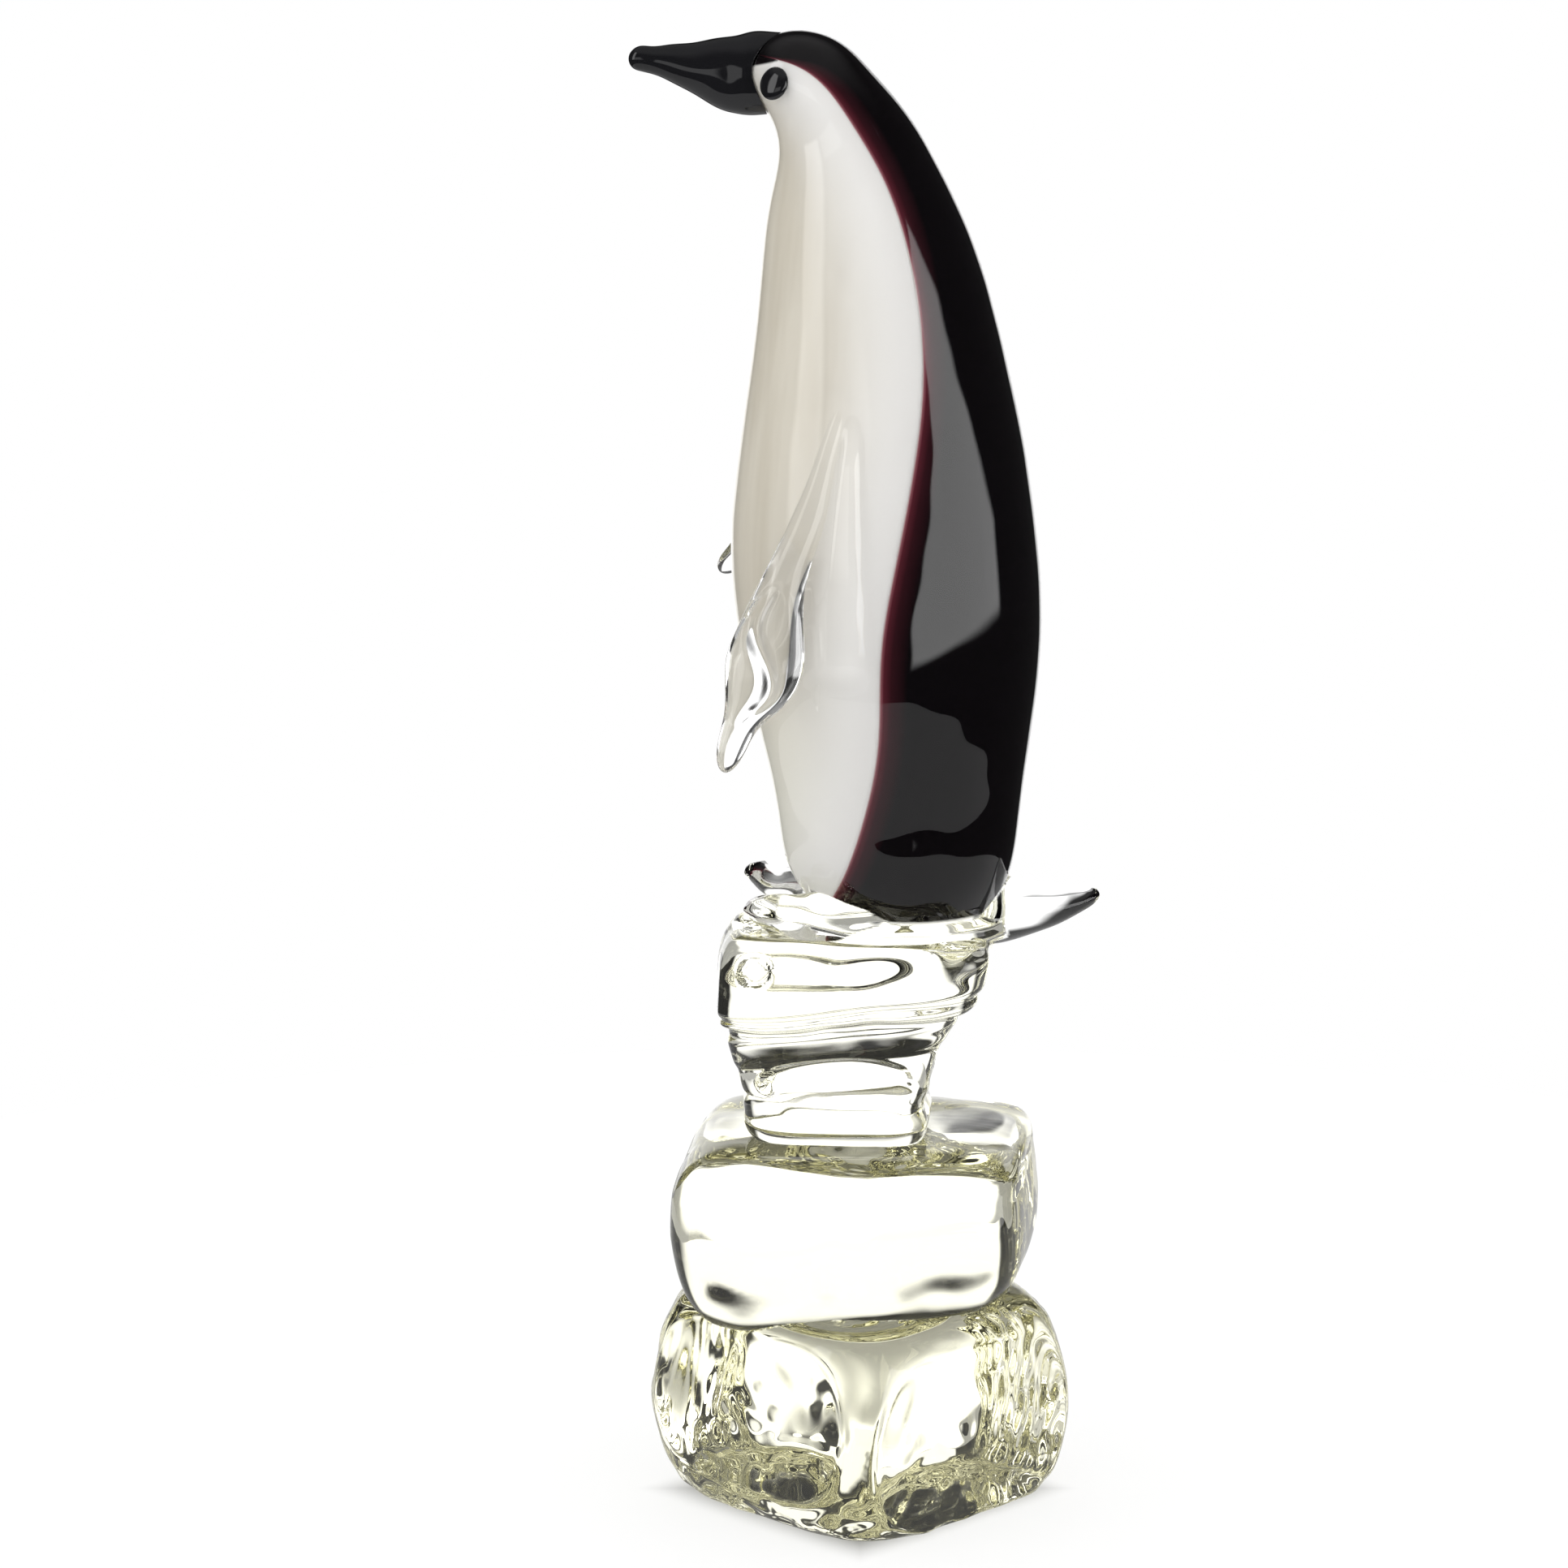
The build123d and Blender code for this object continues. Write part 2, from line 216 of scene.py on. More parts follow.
# What the blocks' worked surfaces share: where walls, backs and undersides begin, and how marks fade
blockWork = {
    "wall": (0.55, 0.85), "back": (-0.25, 0.35), "under": (0.2, 0.7), "stretch": (1, 1, 0.6),
    "smoothRim": (0.5, 1.1), "hollowRim": 1.3, "flatFoot": (0, 0.06), "settle": 0.6, "lowest": 0.05,
}


# Where a point lies in a block: its two shares across and its share of the height
def blockPlace(look, points):
    width, depth, height = look["size"]
    turn = math.radians(look["turn"])
    lean = math.tan(math.radians(look["slump"]))
    x = points[..., 0] * math.cos(turn) + points[..., 1] * math.sin(turn)
    y = points[..., 1] * math.cos(turn) - points[..., 0] * math.sin(turn)
    share = (points[..., 2] - look["foot"] - lean * x) / (height - lean * x)
    shift = np.interp(share, *np.transpose(look["shifts"])) * width
    x = x - shift * math.cos(turn)
    y = y + shift * math.sin(turn)
    return x / (width / 2 * look["bow"]), y / (depth / 2 * look["bow"]), share


# A block: superellipse rings that follow a profile, tilted by the slump and turned
def blockShape(look):
    width, depth, height = look["size"]
    around, levels = look["grid"]
    profile = readCurve(look["profile"], levels + 2)[1:-1]
    angles = ringAngles(around)
    power = look["power"]
    reach = (np.abs(np.cos(angles)) ** power + np.abs(np.sin(angles)) ** power) ** (-1 / power)
    size, share = profile[:, :1], profile[:, 1:]
    x = width / 2 * look["bow"] * size * reach * np.cos(angles)
    y = depth / 2 * look["bow"] * size * reach * np.sin(angles)
    lean = math.tan(math.radians(look["slump"]))
    tilt = lean * (1 - share) + look["sway"] * 4 * share * (1 - share)
    z = look["foot"] + height * share + tilt * x
    turn = math.radians(look["turn"])
    shift = np.interp(share, *np.transpose(look["shifts"])) * width
    rings = np.stack([x * math.cos(turn) - y * math.sin(turn) + shift,
                      x * math.sin(turn) + y * math.cos(turn), z], -1)
    return closeRings(rings, share=share, size=size)


# Depth of points inside a block, in millimetres, negative outside
def blockDepth(look, points):
    x, y, share = blockPlace(look, points)
    power = look["power"]
    reach = (np.abs(x) ** power + np.abs(y) ** power) ** (1 / power)
    outline = readCurve(look["profile"], 200)
    size = np.interp(share, outline[:, 1], outline[:, 0], left=0, right=0)
    side = (size - reach) * look["size"][0] / 2
    height = look["size"][2]
    return np.minimum(side, np.minimum(share, 1 - share) * height)


# A worked block: facets are pressed flat, then the surface is pushed along its normal by slow lumps,
# by hammer marks behind and below, and by creases, ledges and hollows
def workBlock(look, shape):
    rings = shape["rings"]
    middle = np.array([0, 0, look["foot"] + look["size"][2] / 2])
    for bearing, tilt, distance, soft in look.get("facets", ()):
        bearing, tilt = math.radians(bearing), math.radians(tilt)
        level = math.cos(tilt)
        facing = np.array([math.cos(bearing) * level, math.sin(bearing) * level, math.sin(tilt)])
        over = (rings - middle) @ facing - distance
        rings = rings - facing * (soft * np.logaddexp(0, over / soft))[..., None]  # flat with a soft rim
    normals = ringNormals(rings)
    wall = smoothStep(*blockWork["wall"], shape["size"])
    back = smoothStep(*blockWork["back"], normals[..., 1])
    under = smoothStep(*blockWork["under"], -normals[..., 2])
    marks = np.maximum(back, under) * wall
    for spotX, spotY, spotZ, wide in look.get("smooth", ()):
        away = np.linalg.norm(rings - [spotX, spotY, spotZ], axis=-1) / wide
        marks = marks * smoothStep(*blockWork["smoothRim"], away)
    lumpSize, lumpLength, lumpSeed = look["lump"]
    hammerSize, hammerLength, hammerSeed = look["hammer"]
    push = lumpSize * wall * ripple(rings, lumpLength, lumpSeed)
    stretched = rings * np.array(blockWork["stretch"])
    push = push + hammerSize * marks * ripple(stretched, hammerLength, hammerSeed)
    x, y, z = rings[..., 0], rings[..., 1], rings[..., 2]
    for label, where in (("creases", 1), ("backCreases", back)):
        for level, rise, deep, half in look.get(label, ()):
            push = push - deep * where * np.exp(-(((z - level - rise * x) / half) ** 2))
    for top, foot, rise, deep, fade in look.get("ledges", ()):
        push = push - deep * (1 - back) * smoothStep(top, foot, z - rise * x) * smoothStep(*fade, z)
    for middleX, middleY, middleZ, wide, tall, deep, inner in look.get("hollows", ()):
        away = ((x - middleX) / wide) ** 2 + ((y - middleY) / wide) ** 2 + ((z - middleZ) / tall) ** 2
        push = push - deep * smoothStep(blockWork["hollowRim"], inner, away)
    flat = smoothStep(*blockWork["flatFoot"], shape["share"]) if look["foot"] == 0 else 1
    push = push * flat - lumpSize * blockWork["settle"]
    rings = rings + normals * (push * wall)[..., None]
    rings[..., 2] = np.maximum(rings[..., 2], blockWork["lowest"])
    shape["rings"] = rings
    return shape


# Body

bodyLook = {
    "height": 207, "depth": 73, "width": 69, "base": 143, "grid": (240, 300), "crown": -0.176,
    "levels": ((0, 0.153, 0.553), (0.04, 0.135, 0.694), (0.12, 0.126, 0.788), (0.24, 0.111, 0.91),
               (0.39, 0.085, 0.992), (0.55, 0.069, 0.899), (0.70, 0.047, 0.744), (0.82, 0.002, 0.575),
               (0.905, -0.068, 0.447), (0.957, -0.167, 0.395), (0.986, -0.19, 0.258)),
    "crowding": 1.7, "floorRings": (0.45, 0.85), "lift": 1.5,
    "wall": 2.4, "thinning": (1.12, 0.72), "fullWall": 12, "crownLevels": (0.93, 1),
    "dark": 2.0, "darkFade": (-0.3, 1.5), "darkFoot": 0.02, "darkCrown": 0.985, "lap": 0.02, "film": 0.05,
    "capGap": 12, "capLevels": (0.972, 0.985),
    "brow": ((-27.5, 340.2), (-26.8, 340.7), (-24.2, 342.2), (-19, 343.6), (-17, 350)),
    "wave": (0.14, 46, 41, 1), "shimmer": (0.022, 15, 42), "waveLevels": (1, 0.96),
    "swell": {"top": 266, "foot": 205, "x": -2.3, "drift": -4, "narrow": 1.5, "wide": 8, "out": 1.5,
              "start": (0, 0.2), "end": (1.06, 0.94), "core": 0.25},
    "edge": ((-0.02, -0.15), (0.042, -0.064), (0.128, 0.011), (0.22, 0.053), (0.32, 0.059), (0.41, 0.096),
             (0.512, 0.15), (0.63, 0.185), (0.753, 0.145), (0.84, 0.062), (0.889, -0.014), (0.93, -0.092),
             (0.961, -0.178), (0.9735, -0.261), (0.979, -0.36)),
}


# Centre and half axes of the body's level ellipse at shares of its height, less an inset
def bodyLevel(share, inset=0):
    read = readTable(roundTip(bodyLook["levels"], [2]), np.clip(share, 0, nearTip))
    size = read[..., 1] * np.sqrt(np.clip(1 - share, 0, 1))
    centre = bodyLook["depth"] * read[..., 0]
    halfDepth = np.maximum(bodyLook["depth"] * size / 2 - inset, leastHalf)
    halfWidth = np.maximum(bodyLook["width"] * size / 2 - inset, leastHalf)
    return centre, halfDepth, halfWidth


# Depth of points inside the body's skin
def bodyDepth(points):
    share = (points[..., 2] - bodyLook["base"]) / bodyLook["height"]
    centre, halfDepth, halfWidth = bodyLevel(share)
    reach = np.hypot((points[..., 0] - centre) / halfDepth, points[..., 1] / halfWidth)
    side = (1 - reach) * np.minimum(halfDepth, halfWidth)
    return np.minimum(side, np.minimum(share, 1 - share) * bodyLook["height"])


# Half the angle that the dark layer spans at each level, counted from the back
def darkSpan(share):
    centre, halfDepth, _ = bodyLevel(share, bodyLook["wall"])
    line = readCurve(bodyLook["edge"], 400)
    edge = np.interp(share, line[:, 0], line[:, 1]) * bodyLook["depth"]
    span = np.arccos(np.clip((edge - centre) / halfDepth, -1, 1))
    return np.where(share > bodyLook["edge"][-1][0], np.pi, span)


# The distance along the skin from the dark layer's edge, from the angle left to it; the crown is all dark
def edgeGap(shares, left):
    return left * bodyLevel(shares)[2] + bodyLook["capGap"] * smoothStep(*bodyLook["capLevels"], shares)


# The body's rings at given angles, drawn in by an inset that may change over the surface
def bodyRings(shares, angles, inset, lift=0):
    centre, halfDepth, halfWidth = bodyLevel(shares)
    thinned = inset * smoothStep(*bodyLook["thinning"], shares)  # the wall thins out towards the crown
    drawn = thinned * np.sqrt(np.clip((halfWidth - leastHalf) / bodyLook["fullWall"], 0, 1))
    z = bodyLook["base"] + lift * (1 - shares) + bodyLook["height"] * shares + 0 * angles
    z = z - thinned * smoothStep(*bodyLook["crownLevels"], shares)  # only the crown: the chin stays covered
    return np.stack([centre + np.maximum(halfDepth - drawn, leastHalf) * np.cos(angles),
                     np.maximum(halfWidth - drawn, leastHalf) * np.sin(angles), z], -1)


# Shares of the height that crowd towards the crown, so that it closes round, and angles around
def bodyGrid():
    around, levels = bodyLook["grid"]
    return crowdedShares(levels, bodyLook["crowding"])[:, None], ringAngles(around)[None]


# The casing swells in a narrow wedge where the left flipper was pressed on
def shoulderSwell(points):
    look = bodyLook["swell"]
    down = (look["top"] - points[..., 2]) / (look["top"] - look["foot"])
    half = look["narrow"] + look["wide"] * np.clip(down, 0, 1)
    aside = np.abs(points[..., 0] - look["x"] - look["drift"] * down) / half
    along = smoothStep(*look["start"], down) * smoothStep(*look["end"], down)
    return look["out"] * smoothStep(1, look["core"], aside) * along * (points[..., 1] < 0)


# Clear casing: the skin's rings, pushed by faint waves and the swell, on a flat floor
def casingShape():
    shares, angles = bodyGrid()
    rings = bodyRings(shares, angles, 0)
    shimmerSize, shimmerLength, shimmerSeed = bodyLook["shimmer"]
    push = glassWave(rings, bodyLook["wave"])
    push = push + shimmerSize * ripple(rings, shimmerLength, shimmerSeed) + shoulderSwell(rings)
    push = push * smoothStep(*bodyLook["waveLevels"], shares)
    rings = rings + ringNormals(rings) * push[..., None]
    base = rings[0].mean(0)
    floorRings = base + (rings[0] - base) * np.array(bodyLook["floorRings"])[:, None, None]
    top = np.array([bodyLook["depth"] * bodyLook["crown"], 0, bodyLook["base"] + bodyLook["height"]])
    return {"rings": np.concatenate([floorRings, rings]), "low": base, "high": top}


# White glass: follows the skin under the wall and steps in where the dark layer lies on it
def coreShape():
    shares, angles = bodyGrid()
    turned = np.abs((angles + np.pi) % (2 * np.pi) - np.pi)
    gap = edgeGap(shares, darkSpan(shares) - turned)
    inset = bodyLook["wall"] + bodyLook["dark"] * smoothStep(*bodyLook["darkFade"], gap)
    rings = bodyRings(shares, angles, inset, bodyLook["lift"])
    brow = rings[..., 2] - np.interp(rings[..., 0], *np.transpose(bodyLook["brow"]))  # over the brow's line
    values = {"edgeGap": poleValues(0, gap, farOff), "brow": poleValues(-farOff, brow, farOff)}
    return closeRings(rings, values=values)


# Dark layer: a crescent in section, its outer face flush under the wall, thinned out at its edges
def overlayShape():
    half = bodyLook["grid"][0] // 2
    shares = bodyGrid()[0]
    across = np.sin(np.linspace(-np.pi / 2, np.pi / 2, half))
    across = np.concatenate([across, across[::-1][1:-1]])[None]
    inner = (np.arange(across.shape[1]) >= half)[None]
    span = darkSpan(shares)
    gap = edgeGap(shares, span * (1 - np.abs(across)))
    ends = smoothStep(0, bodyLook["darkFoot"], shares) * smoothStep(1, bodyLook["darkCrown"], shares)
    thick = bodyLook["dark"] * smoothStep(*bodyLook["darkFade"], gap) * ends
    thick = np.where(inner, np.maximum(thick - bodyLook["film"], 0), 0)
    rings = bodyRings(shares, across * span, bodyLook["wall"] - bodyLook["lap"] + thick, bodyLook["lift"])
    return closeRings(rings, values={"edgeGap": poleValues(0, gap, farOff)})


# Limbs: oval rings carried along a line of centres; levels are shares of the length, width and height

# Table read at shares along a limb, its two sizes closed round at the tip
def readTip(levels, along):
    read = readTable(roundTip(levels, [1, 2]), np.minimum(along, nearTip))
    read[:, :2] *= np.sqrt(1 - along)[:, None]
    return read


# Rings of a limb: each centre plus the cosine of one half size and the sine of the other, along two axes
def limbShape(centres, first, second, halves, around, tip):
    angles = ringAngles(around)
    rings = (centres[:, None] + (halves[:, :1] * np.cos(angles))[..., None] * first[:, None]
             + (halves[:, 1:] * np.sin(angles))[..., None] * second[:, None])
    return {"rings": rings, "low": centres[0], "high": tip, "limb": (centres, first, second, halves)}


limbSeat = {"outside": -99.0, "margin": 15, "slack": 1.5}


# Depth of points inside a limb, from the oval about the nearest of its centres
def limbDepth(shape, points):
    centres, first, second, halves = shape["limb"]
    found = np.full(len(points), limbSeat["outside"])
    reach = np.ptp(centres, axis=0).max() + limbSeat["margin"]
    near = np.flatnonzero(np.linalg.norm(points - centres.mean(0), axis=-1) < reach)
    away = points[near][:, None] - centres[None]
    best = np.linalg.norm(away, axis=-1).argmin(1)
    offset = away[np.arange(len(near)), best]
    half = halves[best]
    aside = (offset * first[best]).sum(-1) / half[:, 0]
    over = (offset * second[best]).sum(-1) / half[:, 1]
    drift = np.abs((offset * np.cross(first[best], second[best])).sum(-1))
    found[near] = np.minimum((1 - np.hypot(aside, over)) * half.min(1), limbSeat["slack"] - drift)
    return found


# A horn along its forward direction: width, height and rise of each level come from a table
def hornShape(look, root, forward, sideways):
    levels, around = look["grid"]
    start = look["levels"][0][0]
    along = start + (1 - start) * crowdedShares(levels, tipCrowding)
    read = readTip(look["levels"], along)
    halves = read[:, :2] * np.array([look["width"], look["height"]]) / 2
    up = np.array([0, 0, 1.0])
    forward, sideways = np.asarray(forward, float), np.asarray(sideways, float)
    rise = np.where(along > look["levels"][-1][0], look["tipRise"], read[:, 2])
    centres = root + along[:, None] * look["length"] * forward + (rise * look["height"])[:, None] * up
    tip = root + look["length"] * forward + look["tipRise"] * look["height"] * up
    return limbShape(centres, sideways + 0 * centres, up + 0 * centres, halves, around, tip)


beakLook = {
    "length": 26.88, "width": 12.5, "height": 19.6, "axis": 0.952, "tipRise": 0.173, "grid": (150, 96),
    "clearance": 0.03, "wave": (0.16, 9, 61, 1), "waveStretch": (0.5, 1, 1), "waveRoot": (-27, -31),
    "waveTip": (-53, -50),
    "levels": ((-0.42, 0.70, 0.93, 0.01), (-0.22, 0.95, 0.96, 0.012), (-0.06, 1, 0.98, 0.005),
               (0.10, 0.98, 0.90, -0.01), (0.26, 0.88, 0.79, 0.018), (0.45, 0.72, 0.625, 0.068),
               (0.655, 0.55, 0.445, 0.127), (0.81, 0.45, 0.33, 0.155), (0.91, 0.42, 0.295, 0.173),
               (0.97, 0.29, 0.20, 0.173)),
}
tailLook = {
    "length": 25.5, "width": 22, "height": 16.5, "tipRise": 0.24, "grid": (120, 96),
    "levels": ((-0.30, 1, 1, 0.04), (0.10, 0.96, 0.98, 0.05), (0.42, 0.76, 0.72, 0.07),
               (0.68, 0.54, 0.50, 0.12), (0.87, 0.36, 0.31, 0.19), (0.96, 0.22, 0.19, 0.23)),
}
footLook = {
    "length": 34, "width": 19, "height": 11.5, "stance": 26, "splay": 12, "heel": 0.25, "tipRise": 0.43,
    "grid": (120, 96), "wave": (0.24, 9, 71, 0.8), "waveEnds": (0, 12),
    "levels": ((0, 0.70, 0.75, 0.08), (0.30, 1, 1, 0.14), (0.60, 0.98, 0.95, 0.24), (0.84, 0.76, 0.72, 0.36),
               (0.95, 0.46, 0.44, 0.42)),
}
# A flipper's groove is a fold along its outer face: depth, half width, start and end
flipperPlace = {"level": 0.613, "turn": 73, "sink": 2, "grid": (160, 96), "foldDrift": 0.45, "foldEnds": 0.15,
                "leastHalf": 0.01}
leftFlipperLook = {
    "length": 91, "width": 18, "thickness": 9.5, "groove": (3.0, 0.24, 0.5, 0.88),
    "spine": ((0, 0, 0), (0.05, 0.03, 0.17), (0.10, 0.055, 0.33), (0.152, 0.076, 0.46), (0.185, 0.087, 0.585),
              (0.213, 0.098, 0.705), (0.262, 0.112, 0.815), (0.3055, 0.12, 0.942)),
    "levels": ((0, 0, 0), (0.05, 0.16, 0.30), (0.18, 0.28, 0.55), (0.35, 0.44, 0.80), (0.492, 0.56, 0.95),
               (0.622, 0.86, 1), (0.735, 0.985, 0.98), (0.805, 0.74, 0.86), (0.865, 0.48, 0.68),
               (0.92, 0.39, 0.56), (0.965, 0.30, 0.45)),
}
rightFlipperLook = {
    "length": 71.7, "width": 16, "thickness": 8.5, "groove": (1.2, 0.34, 0.4, 0.8),
    "spine": ((0, 0, 0), (0.085, 0.075, 0.27), (0.19, 0.22, 0.50), (0.295, 0.37, 0.65), (0.41, 0.52, 0.785)),
    "levels": ((0, 0, 0), (0.04, 0.20, 0.32), (0.14, 0.40, 0.58), (0.30, 0.74, 0.84), (0.47, 0.98, 1),
               (0.60, 0.96, 1), (0.73, 0.74, 0.86), (0.85, 0.48, 0.64), (0.93, 0.39, 0.52),
               (0.97, 0.29, 0.40)),
}


# A place on the body's skin and the direction outward there; side is -1 on the left
def flankPlace(level, turn, side):
    centre, halfDepth, halfWidth = bodyLevel(np.array(level))
    ahead = math.cos(math.radians(turn))
    aside = side * math.sin(math.radians(turn))
    z = bodyLook["base"] + bodyLook["height"] * level
    outward = np.array([-ahead * halfWidth, aside * halfDepth, 0])
    return np.array([centre - halfDepth * ahead, halfWidth * aside, z]), outward / np.linalg.norm(outward)


# Beak: a horn whose buried part is drawn out to the skin, with slow waves between its root and its tip
def beakShape():
    centre, halfDepth, _ = bodyLevel(np.array(beakLook["axis"]))
    root = np.array([centre - halfDepth, 0, bodyLook["base"] + bodyLook["height"] * beakLook["axis"]])
    shape = hornShape(beakLook, root, (-1, 0, 0), (0, -1, 0))
    rings = shape["rings"]
    skinCentre, skinDepth, skinWidth = bodyLevel((rings[..., 2] - bodyLook["base"]) / bodyLook["height"])
    front = skinCentre - skinDepth * np.sqrt(np.clip(1 - (rings[..., 1] / skinWidth) ** 2, 0, 1))
    drawnOut = np.minimum(rings[..., 0], front - beakLook["clearance"])
    rings[..., 0] = np.where(bodyDepth(rings) > 0, drawnOut, rings[..., 0])
    push = glassWave(rings * np.array(beakLook["waveStretch"]), beakLook["wave"])
    for span in ("waveRoot", "waveTip"):
        push = push * smoothStep(*beakLook[span], rings[..., 0])
    rings += ringNormals(rings) * push[..., None]
    shape["low"] = rings[0].mean(0)
    return shape


def tailShape():
    centre, halfDepth, _ = bodyLevel(np.array(0.0))
    return hornShape(tailLook, np.array([centre + halfDepth, 0, bodyLook["base"]]), (1, 0, 0), (0, 1, 0))


# Foot: a splayed horn with small folds that fade out at its heel and its toe
def footShape(side):
    centre, halfDepth, _ = bodyLevel(np.array(0.0))
    splay = math.radians(footLook["splay"])
    heel = np.array([centre - halfDepth * footLook["heel"], side * footLook["stance"] / 2, bodyLook["base"]])
    forward = np.array([-math.cos(splay), side * math.sin(splay), 0])
    shape = hornShape(footLook, heel, forward, np.cross([0, 0, 1], forward))
    rings, centres = shape["rings"], shape["limb"][0]
    ring = np.arange(len(rings))
    ends = smoothStep(*footLook["waveEnds"], ring) * smoothStep(*footLook["waveEnds"], ring[::-1])
    outward = ringNormals(rings)
    outward *= np.sign((outward * (rings - centres[:, None])).sum())
    push = glassWave(rings, footLook["wave"], side) * ends[:, None]
    shape["rings"] = rings + outward * push[..., None]
    return shape


# A flipper: oval rings square to a spline spine that starts under the shoulder's skin
def flipperShape(side, look):
    levels, around = flipperPlace["grid"]
    place, outward = flankPlace(flipperPlace["level"], flipperPlace["turn"], side)
    steps = np.asarray(look["spine"]) * np.array([-1, side, -1]) * look["length"]
    line = readCurve(place - outward * flipperPlace["sink"] + steps, 400)
    along = crowdedShares(levels, tipCrowding)
    pick = along * (len(line) - 1)
    floor = np.minimum(pick.astype(int), len(line) - 2)
    centres = line[floor] + (pick - floor)[:, None] * (line[floor + 1] - line[floor])
    tangents = np.gradient(line, axis=0)[floor]
    tangents /= np.linalg.norm(tangents, axis=1, keepdims=True)
    across = np.cross(tangents, outward)
    across /= np.linalg.norm(across, axis=1, keepdims=True)
    second = np.cross(across, tangents)
    halves = readTip(look["levels"], along) * np.array([look["width"], look["thickness"]]) / 2
    halves = np.maximum(halves, flipperPlace["leastHalf"])
    shape = limbShape(centres, across, second, halves, around, line[-1])
    deep, wide, start, end = look["groove"]
    angles = ringAngles(around)
    share = (along[:, None] - start) / (end - start)
    drift = flipperPlace["foldDrift"] * np.sin(2 * np.pi * share)  # the fold wanders from side to side
    fold = np.exp(-(((np.cos(angles) - drift) / wide) ** 2)) * (np.sin(angles) > 0)
    ends = flipperPlace["foldEnds"]
    fold = fold * smoothStep(0, ends, share) * smoothStep(1, 1 - ends, share) * deep
    shape["rings"] = shape["rings"] - fold[..., None] * second[:, None]
    return shape


# Pad: an oval cushion with a round rim and slow waves, as it was pressed down hot
padLook = {
    "length": 60, "width": 51, "thickness": 6.5, "forward": 5, "foot": 138, "grid": (220, 70),
    "wave": (0.5, 17, 51, 0.8), "waveRim": (0.7, 0.95),
    "profile": ((0, 0), (0.6, 0), (0.86, 0.02), (0.95, 0.14), (0.995, 0.5), (0.955, 0.86), (0.86, 0.98),
                (0.6, 1), (0, 1)),
}


def padCentre():
    return bodyLevel(np.array(0.0))[0] - padLook["forward"]


def padShape():
    around, levels = padLook["grid"]
    profile = readCurve(padLook["profile"], levels + 2)[1:-1]
    angles = ringAngles(around)
    size, share = profile[:, :1], profile[:, 1:]
    rings = np.stack([padCentre() + padLook["length"] / 2 * size * np.cos(angles),
                      padLook["width"] / 2 * size * np.sin(angles),
                      padLook["foot"] + padLook["thickness"] * share + 0 * angles], -1)
    push = glassWave(rings, padLook["wave"]) * smoothStep(*padLook["waveRim"], size)
    return closeRings(rings + ringNormals(rings) * push[..., None])


# Depth of points inside the pad, from its oval and its profile
def padDepth(points):
    x = (points[..., 0] - padCentre()) / padLook["length"] * 2
    y = points[..., 1] / padLook["width"] * 2
    share = (points[..., 2] - padLook["foot"]) / padLook["thickness"]
    outline = readCurve(padLook["profile"], 120)
    size = np.interp(share, outline[:, 1], outline[:, 0], left=0, right=0)
    side = (size - np.hypot(x, y)) * padLook["width"] / 2
    return np.minimum(side, np.minimum(share, 1 - share) * padLook["thickness"])


# Eyes: lens-shaped beads laid on the skin, lifted a little upwards
eyeLook = {"width": 7.3, "height": 7.7, "depth": 3.2, "level": 0.946, "turn": 53.5, "lift": 18,
           "fullness": 0.85, "grid": (64, 40)}


def eyeShape(side):
    around, levels = eyeLook["grid"]
    place, outward = flankPlace(eyeLook["level"], eyeLook["turn"], side)
    up = np.array([0, 0, 1.0])
    lift = math.radians(eyeLook["lift"])
    along = np.cross(up, outward)
    facing = outward * math.cos(lift) + up * math.sin(lift)
    over = up * math.cos(lift) - outward * math.sin(lift)
    angles = ringAngles(around)
    tilt = np.linspace(0, np.pi, levels + 2)[1:-1, None]
    wide = np.sin(tilt) ** eyeLook["fullness"]
    half = eyeLook["depth"] / 2
    rings = (place + (wide * np.cos(angles) * eyeLook["width"] / 2)[..., None] * along
             + (wide * np.sin(angles) * eyeLook["height"] / 2)[..., None] * over
             - (np.cos(tilt) * half + 0 * angles)[..., None] * facing)
    return {"rings": rings, "low": place - facing * half, "high": place + facing * half}


# All shapes, then the seats: a face that lies inside a neighbour was melted away, so it is open there

blockLooks = {"lower_block": lowerLook, "middle_block": middleLook, "upper_block": upperLook}
shapes = {name: workBlock(look, blockShape(look)) for name, look in blockLooks.items()}
shapes["foot_pad"] = padShape()
shapes["body_casing"] = casingShape()
limbs = {
    "left_foot": footShape(-1),
    "right_foot": footShape(1),
    "tail": tailShape(),
    "left_flipper": flipperShape(-1, leftFlipperLook),
    "right_flipper": flipperShape(1, rightFlipperLook),
}
shapes.update(limbs)
depths = {"foot_pad": padDepth, "body_casing": bodyDepth}
depths.update({name: partial(blockDepth, look) for name, look in blockLooks.items()})
depths.update({name: partial(limbDepth, limb) for name, limb in limbs.items()})
fused = (
    ("lower_block", "middle_block"), ("middle_block", "upper_block"), ("upper_block", "foot_pad"),
    ("upper_block", "tail"), ("foot_pad", "body_casing"), ("foot_pad", "left_foot"),
    ("foot_pad", "right_foot"), ("foot_pad", "tail"), ("body_casing", "left_foot"),
    ("body_casing", "right_foot"), ("body_casing", "tail"), ("body_casing", "left_flipper"),
    ("body_casing", "right_flipper"),
)
openFaces = {name: np.ones(len(allPoints(shape))) for name, shape in shapes.items()}
for one, other in fused:
    for name, neighbour in ((one, other), (other, one)):
        buried = depths[neighbour](allPoints(shapes[name]))
        openFaces[name] *= 1 - smoothStep(-seatSoft, seatSoft, buried)
for name, shape in shapes.items():
    shape["values"] = {"open": openFaces[name]}
print("glass shapes:", len(shapes))


# Materials

glassBend = 1.5  # index of refraction of every clear or polished glass here
cordLook = {"detail": 2, "distortion": 1.2, "height": 0.001}


